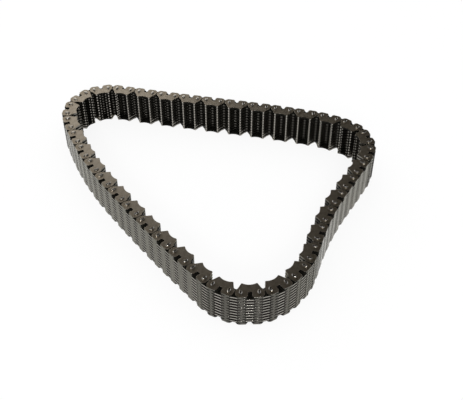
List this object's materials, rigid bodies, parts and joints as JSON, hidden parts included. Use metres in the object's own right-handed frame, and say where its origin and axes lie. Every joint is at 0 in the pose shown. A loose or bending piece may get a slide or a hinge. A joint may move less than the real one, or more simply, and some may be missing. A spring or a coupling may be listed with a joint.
{
  "type": "silent chain",
  "caption": "Endless inverted-tooth drive chain of interleaved toothed steel plates with notched outer guide plates and two-pin rocker joints, laid on its side in a loop.",
  "frame": {"origin": "centre of the loop, on the plane of the lower pin ends on which it lies", "axes": "+Z along the joint axes (up as it lies on its side), +X along the longer side of the loop, +Y away from the viewer of the picture"},
  "size_m": [0.2454, 0.2297, 0.0291],
  "materials": {
    "guide_link_steel": "satin, lightly oiled",
    "inner_link_steel": "satin, lightly oiled"
  },
  "bodies": {
    "guide_link_01": {"guide_link_01": "guide_link_steel"},
    "inner_link_01": {"inner_link_01": "inner_link_steel"},
    "link_pair_02": {"link_pair_02": "guide_link_steel"},
    "link_pair_03": {"link_pair_03": "guide_link_steel"},
    "link_pair_04": {"link_pair_04": "guide_link_steel"},
    "link_pair_05": {"link_pair_05": "guide_link_steel"},
    "link_pair_06": {"link_pair_06": "guide_link_steel"},
    "link_pair_07": {"link_pair_07": "guide_link_steel"},
    "link_pair_08": {"link_pair_08": "guide_link_steel"},
    "link_pair_09": {"link_pair_09": "guide_link_steel"},
    "guide_link_10": {"guide_link_10": "guide_link_steel"},
    "inner_link_10": {"inner_link_10": "inner_link_steel"},
    "guide_link_11": {"guide_link_11": "guide_link_steel"},
    "inner_link_11": {"inner_link_11": "inner_link_steel"},
    "guide_link_12": {"guide_link_12": "guide_link_steel"},
    "inner_link_12": {"inner_link_12": "inner_link_steel"},
    "guide_link_13": {"guide_link_13": "guide_link_steel"},
    "inner_link_13": {"inner_link_13": "inner_link_steel"},
    "guide_link_14": {"guide_link_14": "guide_link_steel"},
    "inner_link_14": {"inner_link_14": "inner_link_steel"},
    "guide_link_15": {"guide_link_15": "guide_link_steel"},
    "inner_link_15": {"inner_link_15": "inner_link_steel"},
    "guide_link_16": {"guide_link_16": "guide_link_steel"},
    "inner_link_16": {"inner_link_16": "inner_link_steel"},
    "guide_link_17": {"guide_link_17": "guide_link_steel"},
    "inner_link_17": {"inner_link_17": "inner_link_steel"},
    "guide_link_18": {"guide_link_18": "guide_link_steel"},
    "inner_link_18": {"inner_link_18": "inner_link_steel"},
    "guide_link_19": {"guide_link_19": "guide_link_steel"},
    "inner_link_19": {"inner_link_19": "inner_link_steel"},
    "guide_link_20": {"guide_link_20": "guide_link_steel"},
    "inner_link_20": {"inner_link_20": "inner_link_steel"},
    "guide_link_21": {"guide_link_21": "guide_link_steel"},
    "inner_link_21": {"inner_link_21": "inner_link_steel"},
    "guide_link_22": {"guide_link_22": "guide_link_steel"},
    "inner_link_22": {"inner_link_22": "inner_link_steel"},
    "guide_link_23": {"guide_link_23": "guide_link_steel"},
    "inner_link_23": {"inner_link_23": "inner_link_steel"},
    "link_pair_24": {"link_pair_24": "guide_link_steel"},
    "link_pair_25": {"link_pair_25": "guide_link_steel"},
    "link_pair_26": {"link_pair_26": "guide_link_steel"},
    "link_pair_27": {"link_pair_27": "guide_link_steel"},
    "link_pair_28": {"link_pair_28": "guide_link_steel"},
    "link_pair_29": {"link_pair_29": "guide_link_steel"},
    "guide_link_30": {"guide_link_30": "guide_link_steel"},
    "inner_link_30": {"inner_link_30": "inner_link_steel"},
    "guide_link_31": {"guide_link_31": "guide_link_steel"},
    "inner_link_31": {"inner_link_31": "inner_link_steel"},
    "guide_link_32": {"guide_link_32": "guide_link_steel"},
    "inner_link_32": {"inner_link_32": "inner_link_steel"},
    "guide_link_33": {"guide_link_33": "guide_link_steel"},
    "inner_link_33": {"inner_link_33": "inner_link_steel"},
    "guide_link_34": {"guide_link_34": "guide_link_steel"},
    "inner_link_34": {"inner_link_34": "inner_link_steel"},
    "guide_link_35": {"guide_link_35": "guide_link_steel"},
    "inner_link_35": {"inner_link_35": "inner_link_steel"},
    "guide_link_36": {"guide_link_36": "guide_link_steel"},
    "inner_link_36": {"inner_link_36": "inner_link_steel"},
    "guide_link_37": {"guide_link_37": "guide_link_steel"},
    "inner_link_37": {"inner_link_37": "inner_link_steel"}
  },
  "joints": [
    {"name": "pivot_10", "type": "hinge", "parent": "link_pair_05", "child": "link_pair_06", "pos_m": [0.01202, 0.08978, 0.01452], "axis": [0, 0, 1], "range_deg": [-9.05, 2.26]},
    {"name": "pivot_12", "type": "hinge", "parent": "link_pair_06", "child": "link_pair_07", "pos_m": [0.03068, 0.08596, 0.01452], "axis": [0, 0, 1], "range_deg": [-10.91, 2.73]},
    {"name": "pivot_14", "type": "hinge", "parent": "link_pair_07", "child": "link_pair_08", "pos_m": [0.04926, 0.08177, 0.01452], "axis": [0, 0, 1], "range_deg": [-10.9, 2.73]},
    {"name": "pivot_16", "type": "hinge", "parent": "link_pair_08", "child": "link_pair_09", "pos_m": [0.06776, 0.07722, 0.01452], "axis": [0, 0, 1], "range_deg": [-6.85, 1.71]},
    {"name": "pivot_18", "type": "hinge", "parent": "link_pair_09", "child": "guide_link_10", "pos_m": [0.08606, 0.07193, 0.01452], "axis": [0, 0, 1], "range_deg": [-1.4, 5.59]},
    {"name": "pivot_19", "type": "hinge", "parent": "guide_link_10", "child": "inner_link_10", "pos_m": [0.09483, 0.06822, 0.01452], "axis": [0, 0, 1], "range_deg": [-1.93, 7.73]},
    {"name": "pivot_20", "type": "hinge", "parent": "inner_link_10", "child": "guide_link_11", "pos_m": [0.10322, 0.06371, 0.01452], "axis": [0, 0, 1], "range_deg": [-2.37, 9.49]},
    {"name": "pivot_21", "type": "hinge", "parent": "guide_link_11", "child": "inner_link_11", "pos_m": [0.11054, 0.05762, 0.01452], "axis": [0, 0, 1], "range_deg": [-2.46, 9.85]},
    {"name": "pivot_22", "type": "hinge", "parent": "inner_link_11", "child": "guide_link_12", "pos_m": [0.11569, 0.0496, 0.01452], "axis": [0, 0, 1], "range_deg": [-2.13, 8.51]},
    {"name": "pivot_23", "type": "hinge", "parent": "guide_link_12", "child": "inner_link_12", "pos_m": [0.11817, 0.04041, 0.01452], "axis": [0, 0, 1], "range_deg": [-1.98, 7.91]},
    {"name": "pivot_24", "type": "hinge", "parent": "inner_link_12", "child": "guide_link_13", "pos_m": [0.11775, 0.03089, 0.01452], "axis": [0, 0, 1], "range_deg": [-2.1, 8.39]},
    {"name": "pivot_25", "type": "hinge", "parent": "guide_link_13", "child": "inner_link_13", "pos_m": [0.11448, 0.02195, 0.01452], "axis": [0, 0, 1], "range_deg": [-0.87, 3.48]},
    {"name": "pivot_26", "type": "hinge", "parent": "inner_link_13", "child": "guide_link_14", "pos_m": [0.10982, 0.01364, 0.01452], "axis": [0, 0, 1], "range_deg": [-5.87, 1.47]},
    {"name": "pivot_27", "type": "hinge", "parent": "guide_link_14", "child": "inner_link_14", "pos_m": [0.10505, 0.00539, 0.01452], "axis": [0, 0, 1], "range_deg": [-4.64, 1.16]},
    {"name": "pivot_28", "type": "hinge", "parent": "inner_link_14", "child": "guide_link_15", "pos_m": [0.10018, -0.00279, 0.01452], "axis": [0, 0, 1], "range_deg": [-3.56, 0.89]},
    {"name": "pivot_29", "type": "hinge", "parent": "guide_link_15", "child": "inner_link_15", "pos_m": [0.0952, -0.01091, 0.01452], "axis": [0, 0, 1], "range_deg": [-4.08, 1.02]},
    {"name": "pivot_30", "type": "hinge", "parent": "inner_link_15", "child": "guide_link_16", "pos_m": [0.09032, -0.01909, 0.01452], "axis": [0, 0, 1], "range_deg": [-4.88, 1.22]},
    {"name": "pivot_31", "type": "hinge", "parent": "guide_link_16", "child": "inner_link_16", "pos_m": [0.08575, -0.02745, 0.01452], "axis": [0, 0, 1], "range_deg": [-4.61, 1.15]},
    {"name": "pivot_32", "type": "hinge", "parent": "inner_link_16", "child": "guide_link_17", "pos_m": [0.08149, -0.03597, 0.01452], "axis": [0, 0, 1], "range_deg": [-4.75, 1.19]},
    {"name": "pivot_33", "type": "hinge", "parent": "guide_link_17", "child": "inner_link_17", "pos_m": [0.07756, -0.04464, 0.01452], "axis": [0, 0, 1], "range_deg": [-5.28, 1.32]},
    {"name": "pivot_34", "type": "hinge", "parent": "inner_link_17", "child": "guide_link_18", "pos_m": [0.07395, -0.05346, 0.01452], "axis": [0, 0, 1], "range_deg": [-6.2, 1.55]},
    {"name": "pivot_35", "type": "hinge", "parent": "guide_link_18", "child": "inner_link_18", "pos_m": [0.07067, -0.0624, 0.01452], "axis": [0, 0, 1], "range_deg": [-7.41, 1.85]},
    {"name": "pivot_36", "type": "hinge", "parent": "inner_link_18", "child": "guide_link_19", "pos_m": [0.06773, -0.07146, 0.01452], "axis": [0, 0, 1], "range_deg": [-3.5, 0.88]},
    {"name": "pivot_37", "type": "hinge", "parent": "guide_link_19", "child": "inner_link_19", "pos_m": [0.06428, -0.08034, 0.01452], "axis": [0, 0, 1], "range_deg": [-3.46, 0.87]},
    {"name": "pivot_38", "type": "hinge", "parent": "inner_link_19", "child": "guide_link_20", "pos_m": [0.05951, -0.08858, 0.01452], "axis": [0, 0, 1], "range_deg": [-3.48, 0.87]},
    {"name": "pivot_39", "type": "hinge", "parent": "guide_link_20", "child": "inner_link_20", "pos_m": [0.05354, -0.09601, 0.01452], "axis": [0, 0, 1], "range_deg": [-0.87, 3.48]},
    {"name": "pivot_40", "type": "hinge", "parent": "inner_link_20", "child": "guide_link_21", "pos_m": [0.04651, -0.10244, 0.01452], "axis": [0, 0, 1], "range_deg": [-1.76, 7.03]},
    {"name": "pivot_41", "type": "hinge", "parent": "guide_link_21", "child": "inner_link_21", "pos_m": [0.03833, -0.10731, 0.01452], "axis": [0, 0, 1], "range_deg": [-2.03, 8.1]},
    {"name": "pivot_42", "type": "hinge", "parent": "inner_link_21", "child": "guide_link_22", "pos_m": [0.02919, -0.10999, 0.01452], "axis": [0, 0, 1], "range_deg": [-1.88, 7.53]},
    {"name": "pivot_43", "type": "hinge", "parent": "guide_link_22", "child": "inner_link_22", "pos_m": [0.01967, -0.11029, 0.01452], "axis": [0, 0, 1], "range_deg": [-2.04, 8.15]},
    {"name": "pivot_44", "type": "hinge", "parent": "inner_link_22", "child": "guide_link_23", "pos_m": [0.01038, -0.10819, 0.01452], "axis": [0, 0, 1], "range_deg": [-2.39, 9.54]},
    {"name": "pivot_45", "type": "hinge", "parent": "guide_link_23", "child": "inner_link_23", "pos_m": [0.00191, -0.10383, 0.01452], "axis": [0, 0, 1], "range_deg": [-2.72, 10.87]},
    {"name": "pivot_08", "type": "hinge", "parent": "link_pair_05", "child": "link_pair_04", "pos_m": [-0.00667, 0.09349, 0.01452], "axis": [0, 0, 1], "range_deg": [-1.61, 6.46]},
    {"name": "pivot_06", "type": "hinge", "parent": "link_pair_04", "child": "link_pair_03", "pos_m": [-0.02533, 0.09733, 0.01452], "axis": [0, 0, 1], "range_deg": [-0.92, 3.66]},
    {"name": "pivot_04", "type": "hinge", "parent": "link_pair_03", "child": "link_pair_02", "pos_m": [-0.04396, 0.10131, 0.01452], "axis": [0, 0, 1], "range_deg": [-0.87, 3.48]},
    {"name": "pivot_02", "type": "hinge", "parent": "link_pair_02", "child": "inner_link_01", "pos_m": [-0.06256, 0.10542, 0.01452], "axis": [0, 0, 1], "range_deg": [-1.01, 4.04]},
    {"name": "pivot_01", "type": "hinge", "parent": "inner_link_01", "child": "guide_link_01", "pos_m": [-0.07185, 0.10752, 0.01452], "axis": [0, 0, 1], "range_deg": [-2.07, 8.26]},
    {"name": "pivot_00", "type": "hinge", "parent": "guide_link_01", "child": "inner_link_37", "pos_m": [-0.08113, 0.10966, 0.01452], "axis": [0, 0, 1], "range_deg": [-3.47, 0.87]},
    {"name": "pivot_73", "type": "hinge", "parent": "inner_link_37", "child": "guide_link_37", "pos_m": [-0.09063, 0.11029, 0.01452], "axis": [0, 0, 1], "range_deg": [-9.81, 2.45]},
    {"name": "pivot_72", "type": "hinge", "parent": "guide_link_37", "child": "inner_link_36", "pos_m": [-0.09984, 0.10784, 0.01452], "axis": [0, 0, 1], "range_deg": [-11.09, 2.77]},
    {"name": "pivot_71", "type": "hinge", "parent": "inner_link_36", "child": "guide_link_36", "pos_m": [-0.10777, 0.10257, 0.01452], "axis": [0, 0, 1], "range_deg": [-11.13, 2.78]},
    {"name": "pivot_70", "type": "hinge", "parent": "guide_link_36", "child": "inner_link_35", "pos_m": [-0.11373, 0.09514, 0.01452], "axis": [0, 0, 1], "range_deg": [-9.93, 2.48]},
    {"name": "pivot_69", "type": "hinge", "parent": "inner_link_35", "child": "guide_link_35", "pos_m": [-0.1173, 0.08631, 0.01452], "axis": [0, 0, 1], "range_deg": [-8.76, 2.19]},
    {"name": "pivot_68", "type": "hinge", "parent": "guide_link_35", "child": "inner_link_34", "pos_m": [-0.11817, 0.07682, 0.01452], "axis": [0, 0, 1], "range_deg": [-7.83, 1.96]},
    {"name": "pivot_67", "type": "hinge", "parent": "inner_link_34", "child": "guide_link_34", "pos_m": [-0.11626, 0.06749, 0.01452], "axis": [0, 0, 1], "range_deg": [-3.48, 0.87]},
    {"name": "pivot_66", "type": "hinge", "parent": "guide_link_34", "child": "inner_link_33", "pos_m": [-0.11288, 0.05858, 0.01452], "axis": [0, 0, 1], "range_deg": [-1.04, 4.16]},
    {"name": "pivot_65", "type": "hinge", "parent": "inner_link_33", "child": "guide_link_33", "pos_m": [-0.10923, 0.04979, 0.01452], "axis": [0, 0, 1], "range_deg": [-0.88, 3.5]},
    {"name": "pivot_64", "type": "hinge", "parent": "guide_link_33", "child": "inner_link_32", "pos_m": [-0.1053, 0.04111, 0.01452], "axis": [0, 0, 1], "range_deg": [-0.87, 3.49]},
    {"name": "pivot_63", "type": "hinge", "parent": "inner_link_32", "child": "guide_link_32", "pos_m": [-0.10111, 0.03256, 0.01452], "axis": [0, 0, 1], "range_deg": [-0.87, 3.49]},
    {"name": "pivot_62", "type": "hinge", "parent": "guide_link_32", "child": "inner_link_31", "pos_m": [-0.09665, 0.02414, 0.01452], "axis": [0, 0, 1], "range_deg": [-0.88, 3.49]},
    {"name": "pivot_61", "type": "hinge", "parent": "inner_link_31", "child": "guide_link_31", "pos_m": [-0.09194, 0.01586, 0.01452], "axis": [0, 0, 1], "range_deg": [-0.88, 3.5]},
    {"name": "pivot_60", "type": "hinge", "parent": "guide_link_31", "child": "inner_link_30", "pos_m": [-0.08697, 0.00774, 0.01452], "axis": [0, 0, 1], "range_deg": [-1.08, 4.33]},
    {"name": "pivot_59", "type": "hinge", "parent": "inner_link_30", "child": "guide_link_30", "pos_m": [-0.08174, -0.00023, 0.01452], "axis": [0, 0, 1], "range_deg": [-1.4, 5.58]},
    {"name": "pivot_58", "type": "hinge", "parent": "guide_link_30", "child": "link_pair_29", "pos_m": [-0.07628, -0.00803, 0.01452], "axis": [0, 0, 1], "range_deg": [-1.91, 7.64]},
    {"name": "pivot_56", "type": "hinge", "parent": "link_pair_29", "child": "link_pair_28", "pos_m": [-0.06499, -0.02337, 0.01452], "axis": [0, 0, 1], "range_deg": [-0.87, 3.48]},
    {"name": "pivot_54", "type": "hinge", "parent": "link_pair_28", "child": "link_pair_27", "pos_m": [-0.05347, -0.03855, 0.01452], "axis": [0, 0, 1], "range_deg": [-0.88, 3.53]},
    {"name": "pivot_52", "type": "hinge", "parent": "link_pair_27", "child": "link_pair_26", "pos_m": [-0.04174, -0.05355, 0.01452], "axis": [0, 0, 1], "range_deg": [-1.32, 5.26]},
    {"name": "pivot_50", "type": "hinge", "parent": "link_pair_26", "child": "link_pair_25", "pos_m": [-0.02978, -0.06838, 0.01452], "axis": [0, 0, 1], "range_deg": [-1.52, 6.06]},
    {"name": "pivot_48", "type": "hinge", "parent": "link_pair_25", "child": "link_pair_24", "pos_m": [-0.0176, -0.08303, 0.01452], "axis": [0, 0, 1], "range_deg": [-1.36, 5.42]}
  ],
  "couplings": [
    {"joint": "pivot_10", "follows": "pivot_08", "ratio": -1.4},
    {"joint": "pivot_12", "follows": "pivot_08", "ratio": -1.6888},
    {"joint": "pivot_14", "follows": "pivot_08", "ratio": -1.6869},
    {"joint": "pivot_16", "follows": "pivot_08", "ratio": -1.06},
    {"joint": "pivot_18", "follows": "pivot_08", "ratio": 0.86443},
    {"joint": "pivot_19", "follows": "pivot_08", "ratio": 1.1961},
    {"joint": "pivot_20", "follows": "pivot_08", "ratio": 1.469},
    {"joint": "pivot_21", "follows": "pivot_08", "ratio": 1.5241},
    {"joint": "pivot_22", "follows": "pivot_08", "ratio": 1.3167},
    {"joint": "pivot_23", "follows": "pivot_08", "ratio": 1.2237},
    {"joint": "pivot_24", "follows": "pivot_08", "ratio": 1.2991},
    {"joint": "pivot_25", "follows": "pivot_08", "ratio": 0.53835},
    {"joint": "pivot_26", "follows": "pivot_08", "ratio": -0.90797},
    {"joint": "pivot_27", "follows": "pivot_08", "ratio": -0.71772},
    {"joint": "pivot_28", "follows": "pivot_08", "ratio": -0.55083},
    {"joint": "pivot_29", "follows": "pivot_08", "ratio": -0.632},
    {"joint": "pivot_30", "follows": "pivot_08", "ratio": -0.75477},
    {"joint": "pivot_31", "follows": "pivot_08", "ratio": -0.71317},
    {"joint": "pivot_32", "follows": "pivot_08", "ratio": -0.73434},
    {"joint": "pivot_33", "follows": "pivot_08", "ratio": -0.81756},
    {"joint": "pivot_34", "follows": "pivot_08", "ratio": -0.9592},
    {"joint": "pivot_35", "follows": "pivot_08", "ratio": -1.1461},
    {"joint": "pivot_36", "follows": "pivot_08", "ratio": -0.54136},
    {"joint": "pivot_37", "follows": "pivot_08", "ratio": -0.53502},
    {"joint": "pivot_38", "follows": "pivot_08", "ratio": -0.53754},
    {"joint": "pivot_39", "follows": "pivot_08", "ratio": 0.53919},
    {"joint": "pivot_40", "follows": "pivot_08", "ratio": 1.0877},
    {"joint": "pivot_41", "follows": "pivot_08", "ratio": 1.2536},
    {"joint": "pivot_42", "follows": "pivot_08", "ratio": 1.1653},
    {"joint": "pivot_43", "follows": "pivot_08", "ratio": 1.2608},
    {"joint": "pivot_44", "follows": "pivot_08", "ratio": 1.477},
    {"joint": "pivot_45", "follows": "pivot_08", "ratio": 1.6824},
    {"joint": "pivot_06", "follows": "pivot_08", "ratio": 0.56572},
    {"joint": "pivot_04", "follows": "pivot_08", "ratio": 0.53828},
    {"joint": "pivot_02", "follows": "pivot_08", "ratio": 0.625},
    {"joint": "pivot_01", "follows": "pivot_08", "ratio": 1.2784},
    {"joint": "pivot_00", "follows": "pivot_08", "ratio": -0.53694},
    {"joint": "pivot_73", "follows": "pivot_08", "ratio": -1.5178},
    {"joint": "pivot_72", "follows": "pivot_08", "ratio": -1.7165},
    {"joint": "pivot_71", "follows": "pivot_08", "ratio": -1.722},
    {"joint": "pivot_70", "follows": "pivot_08", "ratio": -1.5362},
    {"joint": "pivot_69", "follows": "pivot_08", "ratio": -1.356},
    {"joint": "pivot_68", "follows": "pivot_08", "ratio": -1.212},
    {"joint": "pivot_67", "follows": "pivot_08", "ratio": -0.53816},
    {"joint": "pivot_66", "follows": "pivot_08", "ratio": 0.64307},
    {"joint": "pivot_65", "follows": "pivot_08", "ratio": 0.54085},
    {"joint": "pivot_64", "follows": "pivot_08", "ratio": 0.53992},
    {"joint": "pivot_63", "follows": "pivot_08", "ratio": 0.5398},
    {"joint": "pivot_62", "follows": "pivot_08", "ratio": 0.54038},
    {"joint": "pivot_61", "follows": "pivot_08", "ratio": 0.54151},
    {"joint": "pivot_60", "follows": "pivot_08", "ratio": 0.67052},
    {"joint": "pivot_59", "follows": "pivot_08", "ratio": 0.86354},
    {"joint": "pivot_58", "follows": "pivot_08", "ratio": 1.1819},
    {"joint": "pivot_56", "follows": "pivot_08", "ratio": 0.53848},
    {"joint": "pivot_54", "follows": "pivot_08", "ratio": 0.54555},
    {"joint": "pivot_52", "follows": "pivot_08", "ratio": 0.81376},
    {"joint": "pivot_50", "follows": "pivot_08", "ratio": 0.9384},
    {"joint": "pivot_48", "follows": "pivot_08", "ratio": 0.83947}
  ]
}
